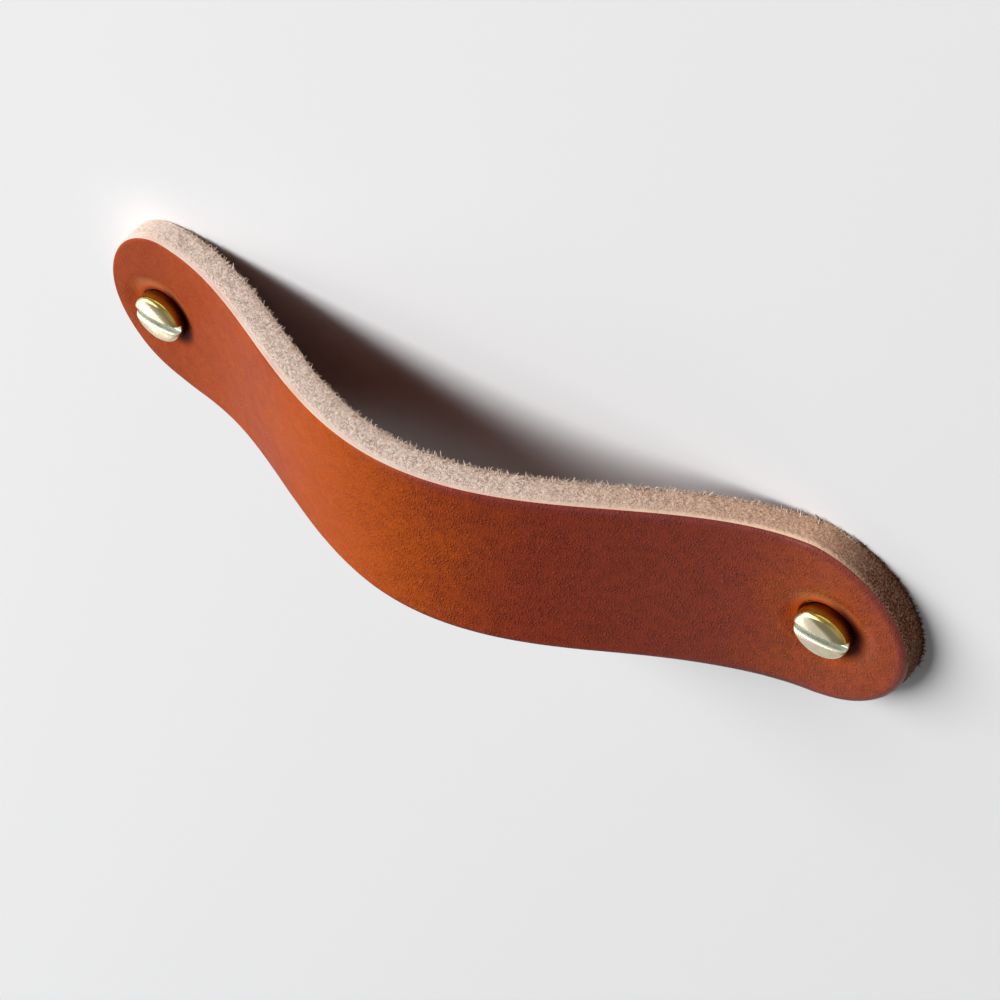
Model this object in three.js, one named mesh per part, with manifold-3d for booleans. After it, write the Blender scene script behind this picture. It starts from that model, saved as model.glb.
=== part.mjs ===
// A leather strap pull for a drawer. One thick strap with round ends is bowed outwards, and a
// slotted brass machine screw holds each end flat against the drawer front. Each screw goes
// through the front to a washer and a nut on its inner side.
//
// Sizes are in millimetres. X runs along the strap and Z is up. The outer face of the drawer
// front is the plane Y = 0, with the wood on its +Y side, and the strap bows out towards -Y.
// The origin lies on that face, midway between the two screws.
import * as THREE from "three";
import { ParametricGeometry } from "three/addons/geometries/ParametricGeometry.js";
import { mergeVertices } from "three/addons/utils/BufferGeometryUtils.js";
import Module from "manifold-3d";

const wasm = await Module();
wasm.setup();

// Strap
const holeSpacing = 96;
const strapWidth = 26;
const leatherThickness = 4;
const leftEndMargin = 8.6; // from the centre of the left hole to the tip of the strap
const rightEndMargin = 10.2;
const bowHeight = 14.5; // clear space behind the strap where the bow is highest
const crownShift = -0.8; // from the middle of the strap to where the bow is highest
const grainEdgeRadius = 1; // how the smooth outer side rolls over into the cut edge
const seatDepth = 0.6; // how far the flat underside of a screw head sinks into the leather
const dimpleDepth = 0.4; // how far the leather round the head is drawn down with it
const dimpleReach = 3.9; // from the side of the head to where the leather is level again

// Screws: slotted cheese heads
const screwDiameter = 4;
const headDiameter = 7;
const headHeight = 2.6;
const headCrownRise = 0.3; // rise of the domed top from its rim to its centre
const headShoulderRadius = 0.5;
const slotWidth = 1.5;
const slotDepth = 1.2;
const leftSlotTurn = 5; // degrees from the line of the strap
const rightSlotTurn = 1;
const screwTipChamfer = 0.6;
const threadBeyondNut = 4.5;

// Drawer front, washers and nuts
const frontThickness = 18;
const washerDiameter = 9;
const washerThickness = 0.8;
const nutAcrossFlats = 7;
const nutHeight = 3.2;
const nutFaceInset = 0.1; // from the flats to the round face that the chamfer leaves
const nutChamferAngle = 30;
const nutMouthChamfer = 0.35;
const leftNutTurn = 12; // degrees
const rightNutTurn = -20;

// Clearances
const contactGap = 0.05; // between faces that are pressed together
const headClearance = 0.1; // round the side of the head where it sinks in
const strapHoleClearance = 0.3; // round the screw, as the others below
const washerClearance = 0.15;
const threadPlay = 0.12;

// Fineness of the curved surfaces
const roundSides = 40;
const domeSteps = 5;
const capStations = 10;
const straightStations = 48;
const edgeRings = 4;
const columnsAcross = 16;

const leather = new THREE.MeshStandardMaterial({ color: 0x9e4a26, roughness: 0.5, metalness: 0 });
const brass = new THREE.MeshStandardMaterial({ color: 0xd9c07a, roughness: 0.22, metalness: 1 });

const headRadius = headDiameter / 2;
const screwRadius = screwDiameter / 2;
const seatPlane = -(leatherThickness - seatDepth);
const headUnderside = seatPlane - contactGap;
const washerPlane = frontThickness;
const nutPlane = washerPlane + washerThickness + contactGap;
const screwLength = nutPlane + nutHeight + threadBeyondNut - headUnderside;

// A geometry as a solid that can be joined and cut: shared vertices merged, collapsed faces gone.
function solidOf(geometry) {
  const bare = geometry.clone();
  for (const name of Object.keys(bare.attributes)) {
    if (name !== "position") bare.deleteAttribute(name);
  }
  const merged = mergeVertices(bare, 1e-4);
  const corners = merged.index.array;
  const triangles = [];
  for (let i = 0; i < corners.length; i += 3) {
    const [a, b, c] = corners.slice(i, i + 3);
    if (a !== b && b !== c && c !== a) triangles.push(a, b, c);
  }
  const vertProperties = new Float32Array(merged.attributes.position.array);
  const triVerts = new Uint32Array(triangles);
  return new wasm.Manifold(new wasm.Mesh({ numProp: 3, vertProperties, triVerts }));
}

// A solid as a named mesh.
function meshOf(solid, name, material) {
  const data = solid.getMesh();
  const geometry = new THREE.BufferGeometry();
  geometry.setAttribute("position", new THREE.BufferAttribute(data.vertProperties, 3));
  geometry.setIndex(new THREE.BufferAttribute(data.triVerts, 1));
  geometry.computeVertexNormals();
  const mesh = new THREE.Mesh(geometry, material);
  mesh.name = name;
  return mesh;
}

// A solid turned about the Y axis from a profile of [radius, height] pairs, lowest first.
function turned(profile) {
  const points = profile.map(([radius, height]) => new THREE.Vector2(radius, height));
  return solidOf(new THREE.LatheGeometry(points, roundSides));
}

// Height of the strap's inner side above the drawer front: half a cosine wave each side of the
// crown, which is the shape that a springy strip takes when both its ends are held flat.
function bow(x) {
  const half = x < crownShift ? holeSpacing / 2 + crownShift : holeSpacing / 2 - crownShift;
  const phase = Math.min(1, Math.abs(x - crownShift) / half);
  return (bowHeight / 2) * (1 + Math.cos(Math.PI * phase));
}

// How far the outer side is pressed down at a place on the flat strap.
function dimple(x, z) {
  const nearest = x < 0 ? -holeSpacing / 2 : holeSpacing / 2;
  const away = (Math.hypot(x - nearest, z) - headRadius) / dimpleReach;
  return dimpleDepth * (1 - THREE.MathUtils.smootherstep(away, 0, 1));
}

// A place in the flat strap carried to its place in the bowed one. Depth is counted from the
// inner side, along the direction square to the bow.
function bent(x, z, depth, target) {
  const step = 0.01;
  const slope = (bow(x + step) - bow(x - step)) / (2 * step);
  const length = Math.hypot(1, slope);
  return target.set(x - (depth * slope) / length, -bow(x) - depth / length, z);
}

// The strap is swept from one tip to the other. Each station gives, for a line that runs a
// little inside the outline, its place along the strap and half its width.
function strapStations() {
  const radius = strapWidth / 2;
  const leftCentre = -(holeSpacing / 2 + leftEndMargin - radius);
  const rightCentre = holeSpacing / 2 + rightEndMargin - radius;
  const cap = (centre, side, turn) => (inset) => ({
    x: centre + side * (radius - inset) * Math.cos(turn),
    half: (radius - inset) * Math.sin(turn),
  });
  const straight = (x) => (inset) => ({ x, half: radius - inset });
  const stations = [];
  for (let i = 0; i < capStations; i += 1) {
    stations.push(cap(leftCentre, -1, (Math.PI / 2) * (i / capStations)));
  }
  for (let i = 0; i < straightStations; i += 1) {
    stations.push(straight(THREE.MathUtils.lerp(leftCentre, rightCentre, i / straightStations)));
  }
  for (let i = capStations; i >= 0; i -= 1) {
    stations.push(cap(rightCentre, 1, (Math.PI / 2) * (i / capStations)));
  }
  return stations;
}

// The closed loop of the strap's section: up one cut edge, over the rolled corner, across the
// outer side, down the other edge and back across the inner side. Each step holds the inset of
// its line, its place across that line from 1 to -1, its depth and whether a dimple can reach it.
function strapSection() {
  const edge = [{ inset: 0, depth: 0 }];
  for (let i = 0; i <= edgeRings; i += 1) {
    const turn = (Math.PI / 2) * (i / edgeRings);
    edge.push({
      inset: grainEdgeRadius * (1 - Math.cos(turn)),
      depth: leatherThickness - grainEdgeRadius * (1 - Math.sin(turn)),
    });
  }
  const outerInset = grainEdgeRadius;
  const loop = edge.map((step) => ({ ...step, across: 1, soft: false }));
  loop[loop.length - 1].soft = true;
  for (let i = 1; i < columnsAcross; i += 1) {
    const across = 1 - (2 * i) / columnsAcross;
    loop.push({ inset: outerInset, depth: leatherThickness, across, soft: true });
  }
  loop.push(...loop.slice(0, edge.length).reverse().map((step) => ({ ...step, across: -1 })));
  for (let i = 1; i < columnsAcross; i += 1) {
    const across = -1 + (2 * i) / columnsAcross;
    loop.push({ inset: 0, depth: 0, across, soft: false });
  }
  return loop;
}

function bowedBlank() {
  const stations = strapStations();
  const section = strapSection();
  const surface = (u, v, target) => {
    const station = stations[Math.round(v * (stations.length - 1))];
    const step = section[Math.round(u * section.length) % section.length];
    const { x, half } = station(step.inset);
    const z = half * step.across;
    const pressed = step.soft ? dimple(x, z) : 0;
    bent(x, z, step.depth - pressed, target);
  };
  return solidOf(new ParametricGeometry(surface, section.length, stations.length - 1));
}

// What a screw takes out of the strap: the hole for its shank and the seat of its head.
function screwRecess() {
  const hole = screwRadius + strapHoleClearance;
  const seat = headRadius + headClearance;
  const reach = leatherThickness + headHeight;
  return turned([
    [0, -reach],
    [seat, -reach],
    [seat, seatPlane],
    [hole, seatPlane],
    [hole, reach],
    [0, reach],
  ]);
}

function leatherStrap() {
  const recess = screwRecess();
  const left = recess.translate([-holeSpacing / 2, 0, 0]);
  const right = recess.translate([holeSpacing / 2, 0, 0]);
  return meshOf(bowedBlank().subtract(left).subtract(right), "leather_strap", leather);
}

// A machine screw with its head's underside at Y = 0 and its shank towards +Y.
function slottedScrew(name, slotTurn) {
  const rimHeight = headHeight - headCrownRise;
  const shoulderStart = rimHeight - headShoulderRadius;
  const flatRadius = headRadius - headShoulderRadius;
  const top = [];
  for (let i = 0; i <= domeSteps; i += 1) {
    const share = i / domeSteps;
    top.push([flatRadius * share, -rimHeight - headCrownRise * (1 - share * share)]);
  }
  for (let i = 1; i <= domeSteps; i += 1) {
    const turn = (Math.PI / 2) * (i / domeSteps);
    const radius = flatRadius + headShoulderRadius * Math.sin(turn);
    top.push([radius, -shoulderStart - headShoulderRadius * Math.cos(turn)]);
  }
  const body = turned([
    ...top,
    [headRadius, 0],
    [screwRadius, 0],
    [screwRadius, screwLength - screwTipChamfer],
    [screwRadius - screwTipChamfer, screwLength],
    [0, screwLength],
  ]);
  const cutter = new THREE.BoxGeometry(2 * headDiameter, 2 * slotDepth, slotWidth);
  cutter.translate(0, -headHeight, 0);
  cutter.rotateY(THREE.MathUtils.degToRad(slotTurn));
  return meshOf(body.subtract(solidOf(cutter)), name, brass);
}

// A flat washer with its front face at Y = 0.
function flatWasher(name) {
  const bore = screwRadius + washerClearance;
  const profile = [
    [bore, 0],
    [washerDiameter / 2, 0],
    [washerDiameter / 2, washerThickness],
    [bore, washerThickness],
    [bore, 0],
  ];
  return meshOf(turned(profile), name, brass);
}

// A hexagon nut with its front face at Y = 0, chamfered on both faces.
function hexagonNut(name, nutTurn) {
  const cornerRadius = nutAcrossFlats / Math.sqrt(3);
  const faceRadius = nutAcrossFlats / 2 - nutFaceInset;
  const drop = (cornerRadius - faceRadius) * Math.tan(THREE.MathUtils.degToRad(nutChamferAngle));
  const bore = screwRadius + threadPlay;
  const prism = new THREE.CylinderGeometry(cornerRadius, cornerRadius, nutHeight, 6);
  prism.translate(0, nutHeight / 2, 0);
  const blank = turned([
    [0, 0],
    [faceRadius, 0],
    [cornerRadius, drop],
    [cornerRadius, nutHeight - drop],
    [faceRadius, nutHeight],
    [0, nutHeight],
  ]);
  const past = 2 * nutMouthChamfer;
  const through = turned([
    [0, -past],
    [bore + nutMouthChamfer + past, -past],
    [bore, nutMouthChamfer],
    [bore, nutHeight - nutMouthChamfer],
    [bore + nutMouthChamfer + past, nutHeight + past],
    [0, nutHeight + past],
  ]);
  const nut = solidOf(prism).intersect(blank).subtract(through);
  return meshOf(nut.rotate([0, nutTurn, 0]), name, brass);
}

// One screw with its washer and nut, about an axis along Y.
function fastening(side, slotTurn, nutTurn) {
  const group = new THREE.Group();
  const screw = slottedScrew(`${side}_screw`, slotTurn);
  const washer = flatWasher(`${side}_washer`);
  const nut = hexagonNut(`${side}_nut`, nutTurn);
  screw.position.y = headUnderside;
  washer.position.y = washerPlane;
  nut.position.y = nutPlane;
  group.add(screw, washer, nut);
  return group;
}

const strapPull = new THREE.Group();
const leftFastening = fastening("left", leftSlotTurn, leftNutTurn);
const rightFastening = fastening("right", rightSlotTurn, rightNutTurn);
leftFastening.position.x = -holeSpacing / 2;
rightFastening.position.x = holeSpacing / 2;
strapPull.add(leatherStrap(), leftFastening, rightFastening);

export default strapPull;
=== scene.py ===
"""The looks of a leather strap pull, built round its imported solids.

The strap gets its dyed grain side, its bare cut edge and its flesh side, with loose fibres on
them. The screws get their domed slotted heads and threads, the washers their rolled edges and the
nuts their threads. Lengths are in metres unless a name says otherwise.
"""

import logging
import math
from dataclasses import dataclass, field
from enum import Enum
from typing import Any

import bmesh
import bpy
import numpy as np
from mathutils import Matrix, Vector, noise


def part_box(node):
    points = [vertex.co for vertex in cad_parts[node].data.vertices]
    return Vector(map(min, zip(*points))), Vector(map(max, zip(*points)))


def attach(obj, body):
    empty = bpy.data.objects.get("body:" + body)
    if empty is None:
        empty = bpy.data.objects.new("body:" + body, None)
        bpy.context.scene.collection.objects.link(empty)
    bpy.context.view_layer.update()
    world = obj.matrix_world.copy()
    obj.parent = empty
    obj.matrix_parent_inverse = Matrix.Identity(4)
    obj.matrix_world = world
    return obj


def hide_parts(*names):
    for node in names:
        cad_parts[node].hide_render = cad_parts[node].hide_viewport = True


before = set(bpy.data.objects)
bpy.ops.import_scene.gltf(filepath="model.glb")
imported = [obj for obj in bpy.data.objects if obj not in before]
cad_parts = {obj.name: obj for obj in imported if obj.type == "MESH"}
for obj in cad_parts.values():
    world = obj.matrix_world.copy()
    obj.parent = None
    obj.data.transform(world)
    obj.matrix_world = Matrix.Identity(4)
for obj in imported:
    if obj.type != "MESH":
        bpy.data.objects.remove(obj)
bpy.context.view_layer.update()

BODY = "root"
MM = 0.001
MM_PER_METRE = 1000.0
FULL_TURN = 2 * math.pi
WIDE_SOCKETS = ("VECTOR", "RGBA")

Colour = tuple[float, float, float]
log = logging.getLogger("strap_pull")


class Side(Enum):
    """The two ends of the strap, with the direction of each along it."""

    LEFT = -1
    RIGHT = 1

    @property
    def word(self) -> str:
        """The side's name as the solids spell it."""
        return self.name.lower()


class Zone(Enum):
    """The kinds of leather surface, numbered as the strap's material slots."""

    GRAIN = 0
    CUT = 1
    FLESH = 2


class Graph:
    """Adds nodes to one tree, which may be a material's or a geometry one."""

    def __init__(self, tree: bpy.types.NodeTree) -> None:
        """Keeps the tree.

        Args:
            tree: The node tree to add to.
        """
        self.tree = tree

    def add(
        self,
        kind: str,
        settings: dict[str, Any] | None = None,
        values: dict[str | int, Any] | None = None,
    ) -> bpy.types.Node:
        """Adds one node.

        Args:
            kind: The node's type name.
            settings: Its own settings, set first.
            values: Numbers, tuples or signals for its inputs, by name or number.

        Returns:
            The new node.
        """
        node = self.tree.nodes.new(kind)
        for name, setting in (settings or {}).items():
            setattr(node, name, setting)
        for key, value in (values or {}).items():
            self._feed(node.inputs[key], value)
        return node

    def signal(
        self,
        kind: str,
        settings: dict[str, Any] | None = None,
        values: dict[str | int, Any] | None = None,
        output: str | int = 0,
    ) -> "Signal":
        """Adds one node and gives one of its outputs.

        Args:
            kind: The node's type name.
            settings: Its own settings.
            values: What its inputs take.
            output: The name or number of the output.

        Returns:
            That output as a signal.
        """
        return Signal(self, self.add(kind, settings, values).outputs[output])

    def _feed(self, socket: bpy.types.NodeSocket, value: Any) -> None:
        """Links a signal to an input, or sets the input's own value.

        Args:
            socket: The input.
            value: A signal, a number or a tuple. One number sets all of a vector.
        """
        if isinstance(value, Signal):
            self.tree.links.new(value.socket, socket)
        elif socket.type == "RGBA" and len(value) == 3:
            socket.default_value = (*value, 1.0)
        elif socket.type == "VECTOR" and isinstance(value, (int, float)):
            socket.default_value = (value, value, value)
        else:
            socket.default_value = value

    def blend(self, share: Any, first: Any, second: Any) -> "Signal":
        """Mixes two colours.

        Args:
            share: How much of the second colour there is, a number or a signal.
            first: A colour or a signal.
            second: A colour or a signal.

        Returns:
            The mixed colour.
        """
        values = {0: share, 6: first, 7: second}
        return self.signal("ShaderNodeMix", {"data_type": "RGBA"}, values, 2)

    def layered(self, base: Any, *layers: tuple[Any, Any]) -> "Signal":
        """Lays colours over a base, one after another.

        Args:
            base: A colour or a signal.
            layers: The share and the colour of each layer, the lowest first.

        Returns:
            The mixed colour.
        """
        for share, colour in layers:
            base = self.blend(share, base, colour)
        return base

    def cloud(self, place: "Signal", scale: float, detail: float) -> "Signal":
        """Gives soft noise from 0 to 1 that is near 0.5 in most places.

        Args:
            place: Where it is read.
            scale: How many patches fit in one unit of place.
            detail: How many finer layers it has.

        Returns:
            The noise as a number.
        """
        values = {"Vector": place, "Scale": scale, "Detail": detail}
        return self.signal("ShaderNodeTexNoise", None, values, "Fac")


class Signal:
    """One output socket, which Python's operators work on."""

    def __init__(self, graph: Graph, socket: bpy.types.NodeSocket) -> None:
        """Keeps the socket and the graph that it belongs to.

        Args:
            graph: Where further nodes are added.
            socket: The output socket.
        """
        self.graph = graph
        self.socket = socket

    def _work(self, operation: str, *terms: Any) -> "Signal":
        """Adds a Math node, or a Vector Math node if a term is a vector or a colour.

        Args:
            operation: The node's operation.
            terms: Its inputs in order, as signals, numbers or tuples.

        Returns:
            What the node gives.
        """
        sockets = [term.socket for term in terms if isinstance(term, Signal)]
        wide = any(socket.type in WIDE_SOCKETS for socket in sockets)
        kind = "ShaderNodeVectorMath" if wide else "ShaderNodeMath"
        return self.graph.signal(kind, {"operation": operation}, dict(enumerate(terms)))

    def __add__(self, other: Any) -> "Signal":
        """Adds."""
        return self._work("ADD", self, other)

    __radd__ = __add__

    def __sub__(self, other: Any) -> "Signal":
        """Takes away."""
        return self._work("SUBTRACT", self, other)

    def __rsub__(self, other: Any) -> "Signal":
        """Takes this away from the other."""
        return self._work("SUBTRACT", other, self)

    def __mul__(self, other: Any) -> "Signal":
        """Multiplies."""
        return self._work("MULTIPLY", self, other)

    __rmul__ = __mul__

    def __truediv__(self, other: Any) -> "Signal":
        """Divides."""
        return self._work("DIVIDE", self, other)

    def __pow__(self, other: Any) -> "Signal":
        """Raises to a power."""
        return self._work("POWER", self, other)

    def least(self, other: Any) -> "Signal":
        """Gives the smaller of the two."""
        return self._work("MINIMUM", self, other)

    def most(self, other: Any) -> "Signal":
        """Gives the larger of the two."""
        return self._work("MAXIMUM", self, other)

    def apply(self, operation: str) -> "Signal":
        """Works out a function of this number, such as SINE or FRACT."""
        return self._work(operation, self)

    def rise(self, low: float, high: float) -> "Signal":
        """Goes smoothly from 0 to 1 as this number goes from low to high.

        Args:
            low: Where it starts to rise.
            high: Where it reaches 1. It may be lower than low, and then it falls.

        Returns:
            The new number.
        """
        start, end = (low, high) if low < high else (high, low)
        values = {"Value": self, "From Min": start, "From Max": end}
        risen = self.graph.signal("ShaderNodeMapRange", {"interpolation_type": "SMOOTHSTEP"}, values)
        return risen if low < high else 1 - risen


def new_material(name: str) -> tuple[bpy.types.Material, Graph]:
    """Makes a material with an empty tree.

    Args:
        name: The material's name.

    Returns:
        The material and the graph that adds to it.
    """
    material = bpy.data.materials.new(name)
    material.use_nodes = True
    material.node_tree.nodes.clear()
    return material, Graph(material.node_tree)


def finish_surface(graph: Graph, values: dict[str, Any]) -> None:
    """Ends a material in one Principled shader.

    Args:
        graph: The material's graph.
        values: What the shader's inputs take.
    """
    shader = graph.signal("ShaderNodeBsdfPrincipled", None, values)
    graph.add("ShaderNodeOutputMaterial", None, {"Surface": shader})


def leather_place(graph: Graph) -> Signal:
    """Reads where a point lies on the strap before it is bent, in millimetres.

    Args:
        graph: The material's graph.

    Returns:
        Along the strap, across it, and up from its flesh side.
    """
    settings = {"attribute_name": Strap.PLACE_NAME}
    return graph.signal("ShaderNodeAttribute", settings, None, "Vector")


def parts_of(graph: Graph, place: Signal) -> tuple[Signal, Signal, Signal]:
    """Splits a vector into its three numbers.

    Args:
        graph: The graph to add to.
        place: The vector.

    Returns:
        Its three parts.
    """
    node = graph.add("ShaderNodeSeparateXYZ", None, {0: place})
    return tuple(Signal(graph, node.outputs[i]) for i in range(3))


@dataclass(frozen=True)
class GrainFinish:
    """The outer side: dyed through its grain, lightly waxed, with fine uneven pebbles, and with painted
    light, shade and highlights laid over the dye.
    """

    cognac: Colour = (0.39, 0.066, 0.014)
    amber: Colour = (0.53, 0.092, 0.004)
    oxblood: Colour = (0.31, 0.036, 0.018)
    crease: Colour = (0.10, 0.012, 0.007)
    # Painted shade with a mauve tint for sheen: the colour of the rolled edge on the right half.
    rim: Colour = (0.19, 0.028, 0.028)
    # Painted highlight: the lighter colour of the arc above each head.
    painted_highlight: Colour = (0.66, 0.27, 0.12)
    # Painted shadow: the near black beside each head.
    head_shadow: Colour = (0.05, 0.004, 0.003)
    pebbles_per_mm: float = 2.3
    pebble_height: float = 0.14 * MM
    roughness: float = 0.4
    specular: float = 0.015
    wax_roughness: float = 0.36
    screws_mm: tuple[float, float] = (-48.0, 48.0)

    def build(self) -> bpy.types.Material:
        """Makes the material.

        Returns:
            The grain material.
        """
        material, graph = new_material("dyed_grain")
        place = leather_place(graph)
        along, across, _ = parts_of(graph, place)
        from_screw, from_edge = (self._gap(graph, name) for name in (Strap.SCREW_NAME, Strap.EDGE_NAME))
        plump = (0.45 + 0.55 * along.rise(-14, 6)) * from_screw.rise(3.9, 5.5)
        relief, creases, pores = self._relief(graph, place, plump)
        rolled = from_edge.rise(1.5, 0.4) * along.rise(-10, 10)
        # Painted highlight: an arc on the upper side of each head.
        highlight_arc = from_screw.rise(3.8, 4.4) * from_screw.rise(6.0, 4.7) * across.rise(0.5, 4.5)
        # The dye, its creases and pores, then painted shade, highlight and shadow laid over them.
        worn = graph.layered(
            self._dyed(graph, place, along, from_screw),
            (creases * 0.5 + pores * 0.35, self.crease),
            # Painted shade with a mauve tint for sheen: the rolled edge on the right half is darker.
            (rolled * 0.55, self.rim),
            # Painted shade: the lower rolled edge is darker.
            (from_edge.rise(0.9, 0.15) * across.rise(-8, -11) * 0.6, self.crease),
            # Painted highlight: the arc above each head is lighter.
            (highlight_arc * 0.4, self.painted_highlight),
            # Painted contact shade: a darker ring where the leather meets each head.
            (from_screw.rise(4.0, 3.6) * 0.3, self.crease),
            # Painted shadow: near black on the side of each head away from the key light.
            (from_screw.rise(5.6, 3.9) * self._lee_side(graph) * 0.9, self.head_shadow),
        )
        waxed = along.rise(-16, -32) * 0.07 + along.rise(0, 40) * 0.38 + rolled * 0.2 + 0.02
        shine = graph.cloud(place, 0.6, 4.0)
        bump = {"Height": relief, "Distance": self.pebble_height, "Strength": 1.0}
        values = {
            "Base Color": worn,
            "Roughness": self.roughness + (shine - 0.5) * 0.2,
            "Specular IOR Level": self.specular,
            "Coat Weight": waxed * from_screw.rise(3.9, 6.0),
            "Coat Roughness": self.wax_roughness,
            "Normal": graph.signal("ShaderNodeBump", None, bump),
        }
        finish_surface(graph, values)
        return material

    def _relief(self, graph: Graph, place: Signal, plump: Signal) -> tuple[Signal, Signal, Signal]:
        """Gives the surface its coarse and fine pebbles.

        Args:
            graph: The material's graph.
            place: Where a point lies on the strap.
            plump: How far the pebbles stand out there, from 0 to 1.

        Returns:
            The height, the creases between the pebbles and the pores.
        """
        wander = graph.signal("ShaderNodeTexNoise", None, {"Vector": place, "Scale": 1.1}, "Color")
        bent = place + (wander - 0.5) * 0.55
        long_way = graph.signal("ShaderNodeMapping", None, {"Vector": bent, "Scale": (1.25, 0.85, 1.0)})
        cells = []
        for per_mm, shoulder in ((self.pebbles_per_mm, 0.42), (2.4 * self.pebbles_per_mm, 0.45)):
            values = {"Vector": long_way, "Scale": per_mm, "Randomness": 1.0}
            to_edge = graph.signal("ShaderNodeTexVoronoi", {"feature": "DISTANCE_TO_EDGE"}, values)
            cells.append(to_edge.rise(0.0, shoulder))
        pebble, fine = cells
        broken = graph.cloud(place, 0.9, 3.0).rise(0.34, 0.66)
        pores = graph.cloud(place, 9.0, 1.0).rise(0.64, 0.76)
        relief = (pebble * (0.35 + 0.65 * broken) + fine * 0.35) * (1 - 0.5 * pores) * plump
        return relief, (1 - pebble) * (0.25 + 0.45 * broken) * plump, pores

    def _dyed(self, graph: Graph, place: Signal, along: Signal, from_screw: Signal) -> Signal:
        """Gives the grain's colour: uneven dye, with painted light and shade along the strap and painted
        light round the right screw.

        Args:
            graph: The material's graph.
            place: Where a point lies on the strap.
            along: How far along the strap it is.
            from_screw: How far it is from the nearer screw.

        Returns:
            The colour before the creases, the painted highlight and the painted shade are laid on.
        """
        mottle = graph.cloud(place, 0.11, 4.0).rise(0.3, 0.7)
        patches = graph.cloud(place + 40.0, 0.45, 5.0).rise(0.32, 0.72)
        freckles = graph.cloud(place, 3.2, 4.0).rise(0.42, 0.62)
        strayed = along + (mottle - 0.5) * 6
        # Painted light: a lighter amber band over the crown and the slope left of it.
        painted_light_band = strayed.rise(-30, -8) * strayed.rise(22, 0)
        # Painted shade: a darker oxblood band on the slope right of the crown.
        shaded = strayed.rise(-2, 18) * strayed.rise(46, 34)
        return graph.layered(
            self.cognac,
            (mottle * 0.3, self.amber),
            (patches * 0.25, self.oxblood),
            (painted_light_band * 0.85, self.amber),
            (shaded * 0.7, self.oxblood),
            # Painted light: amber round the right screw.
            (from_screw.rise(10, 5) * along.rise(0, 20) * 0.45, self.amber),
            (freckles * 0.22, self.oxblood),
        )

    def _lee_side(self, graph: Graph) -> Signal:
        """Finds the side of each screw that its head keeps in the shade.

        Args:
            graph: The material's graph.

        Returns:
            1 on that side and 0 on the other.
        """
        place = graph.signal("ShaderNodeTexCoord", None, None, "Object") * MM_PER_METRE
        x, _, _ = parts_of(graph, place)
        left, right = self.screws_mm
        past = x - (left + x.rise(-0.1, 0.1) * (right - left))
        return past.rise(-0.5, 2.5)

    @staticmethod
    def _gap(graph: Graph, name: str) -> Signal:
        """Reads one of the strap's stored distances, in millimetres."""
        return graph.signal("ShaderNodeAttribute", {"attribute_name": name}, None, "Fac")


@dataclass(frozen=True)
class CutFinish:
    """The bare cut edge: a smooth pale line under the grain, and speckled fibres below it, with painted shade
    that darkens it towards the right end.
    """

    cream: Colour = (0.79, 0.64, 0.55)
    blush: Colour = (0.70, 0.47, 0.38)
    tan: Colour = (0.50, 0.33, 0.23)
    hollow: Colour = (0.30, 0.17, 0.11)
    # Painted shade: the darker tan of the edge towards the right end.
    right_shade: Colour = (0.46, 0.18, 0.055)
    warm: Colour = (0.84, 0.55, 0.35)
    # Painted shade: the near black of the edge at the right end.
    right_end_shade: Colour = (0.085, 0.02, 0.004)
    dye: Colour = (0.22, 0.035, 0.018)
    tight_from_mm: float = 3.2
    speck_height: float = 0.16 * MM

    def build(self) -> bpy.types.Material:
        """Makes the material.

        Returns:
            The cut edge's material.
        """
        material, graph = new_material("bare_cut_edge")
        place = leather_place(graph)
        along, _, up = parts_of(graph, place)
        uneven = (graph.cloud(place, 1.6, 3.0) - 0.5) * 0.7
        tight = (up + uneven).rise(self.tight_from_mm - 0.25, self.tight_from_mm + 0.25)
        laid = graph.signal("ShaderNodeMapping", None, {"Vector": place, "Scale": (1.0, 1.0, 2.2)})
        strands = graph.cloud(laid, 2.0, 5.0)
        specks = graph.cloud(place, 5.0, 3.0)
        pits = graph.cloud(place + 9.0, 5.0, 4.0).rise(0.56, 0.68) * (1 - tight)
        pale = graph.blend(0.3 + 0.5 * graph.cloud(place, 0.25, 2.0).rise(0.35, 0.65), self.cream, self.blush)
        loose = graph.blend(strands.rise(0.42, 0.66) * 0.5, self.cream, self.tan)
        loose = graph.blend(specks.rise(0.5, 0.7) * 0.5, loose, self.blush)
        loose = graph.blend(pits * 0.32, loose, self.hollow)
        bare = graph.blend(tight, loose, pale)
        stain = (up + uneven * 0.1).rise(3.76, 3.86)
        # Painted shade: the edge turns a darker tan towards the right end, patchy with the specks.
        painted_shade = 0.65 + 0.35 * specks.rise(0.38, 0.6)
        bare = graph.blend(along.rise(0, 52) * painted_shade * (1 - tight) * 0.7, bare, self.right_shade)
        bare = graph.blend(along.rise(0, 40) * tight * 0.7, bare, self.warm)
        # Painted shade: the edge is near black at the right end, which faces away from the key light.
        bare = graph.blend(along.rise(46, 58) * painted_shade, bare, self.right_end_shade)
        bare = graph.blend(stain, bare, self.dye)
        rough = (1 - 0.85 * tight) * (0.4 + 0.6 * along.rise(-54, -44))
        height = (strands + specks * 0.6 - pits * 0.6) * rough
        bump = {"Height": height, "Distance": self.speck_height, "Strength": 1.0}
        values = {
            "Base Color": bare,
            "Roughness": 0.92 - 0.2 * tight,
            "Specular IOR Level": 0.04,
            "Normal": graph.signal("ShaderNodeBump", None, bump),
        }
        finish_surface(graph, values)
        return material


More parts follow.
